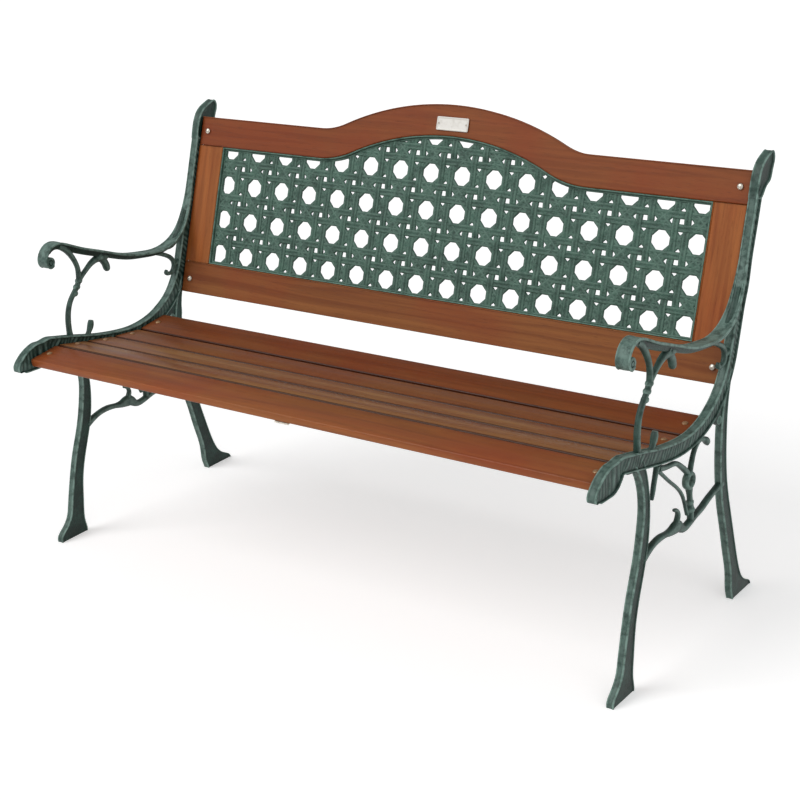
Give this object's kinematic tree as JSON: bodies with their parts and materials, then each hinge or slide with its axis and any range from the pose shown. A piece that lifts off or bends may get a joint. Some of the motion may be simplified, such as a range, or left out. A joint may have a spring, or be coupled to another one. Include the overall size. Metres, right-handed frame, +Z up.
{
  "type": "garden bench",
  "caption": "Garden bench with cast scrolled end frames, hardwood slat seat and arched wooden back framing a cast cane-weave panel.",
  "frame": {"origin": "on the ground, at the middle of the bench's footprint", "axes": "+X along the bench, towards the sitter's left-hand end; -Y the front, the way a sitter faces; +Z up"},
  "size_m": [1.263, 0.6117, 0.8176],
  "materials": {
    "cast_iron": "dark green paint with paler verdigris on the raised edges, satin, lightly stippled",
    "hardwood": "reddish-brown oiled hardwood under gloss varnish, grain along each board",
    "zinc_steel": "bright zinc plate, slightly dulled",
    "plate_enamel": "off-white enamel, semi-gloss, blank"
  },
  "bodies": {
    "root": {"left_end_frame": "cast_iron", "right_end_frame": "cast_iron", "lattice_panel": "cast_iron", "seat_slat_1": "hardwood", "seat_slat_2": "hardwood", "seat_slat_3": "hardwood", "seat_slat_4": "hardwood", "seat_slat_5": "hardwood", "back_top_rail": "hardwood", "back_bottom_rail": "hardwood", "back_left_stile": "hardwood", "back_right_stile": "hardwood", "stile_dowels": "hardwood", "seat_bolts": "zinc_steel", "seat_washers": "zinc_steel", "seat_nuts": "zinc_steel", "back_bolts": "zinc_steel", "back_washers": "zinc_steel", "back_nuts": "zinc_steel", "panel_screws": "zinc_steel", "strap_screws": "zinc_steel", "name_plate_pins": "zinc_steel", "seat_strap": "zinc_steel", "name_plate": "plate_enamel"}
  },
  "joints": []
}
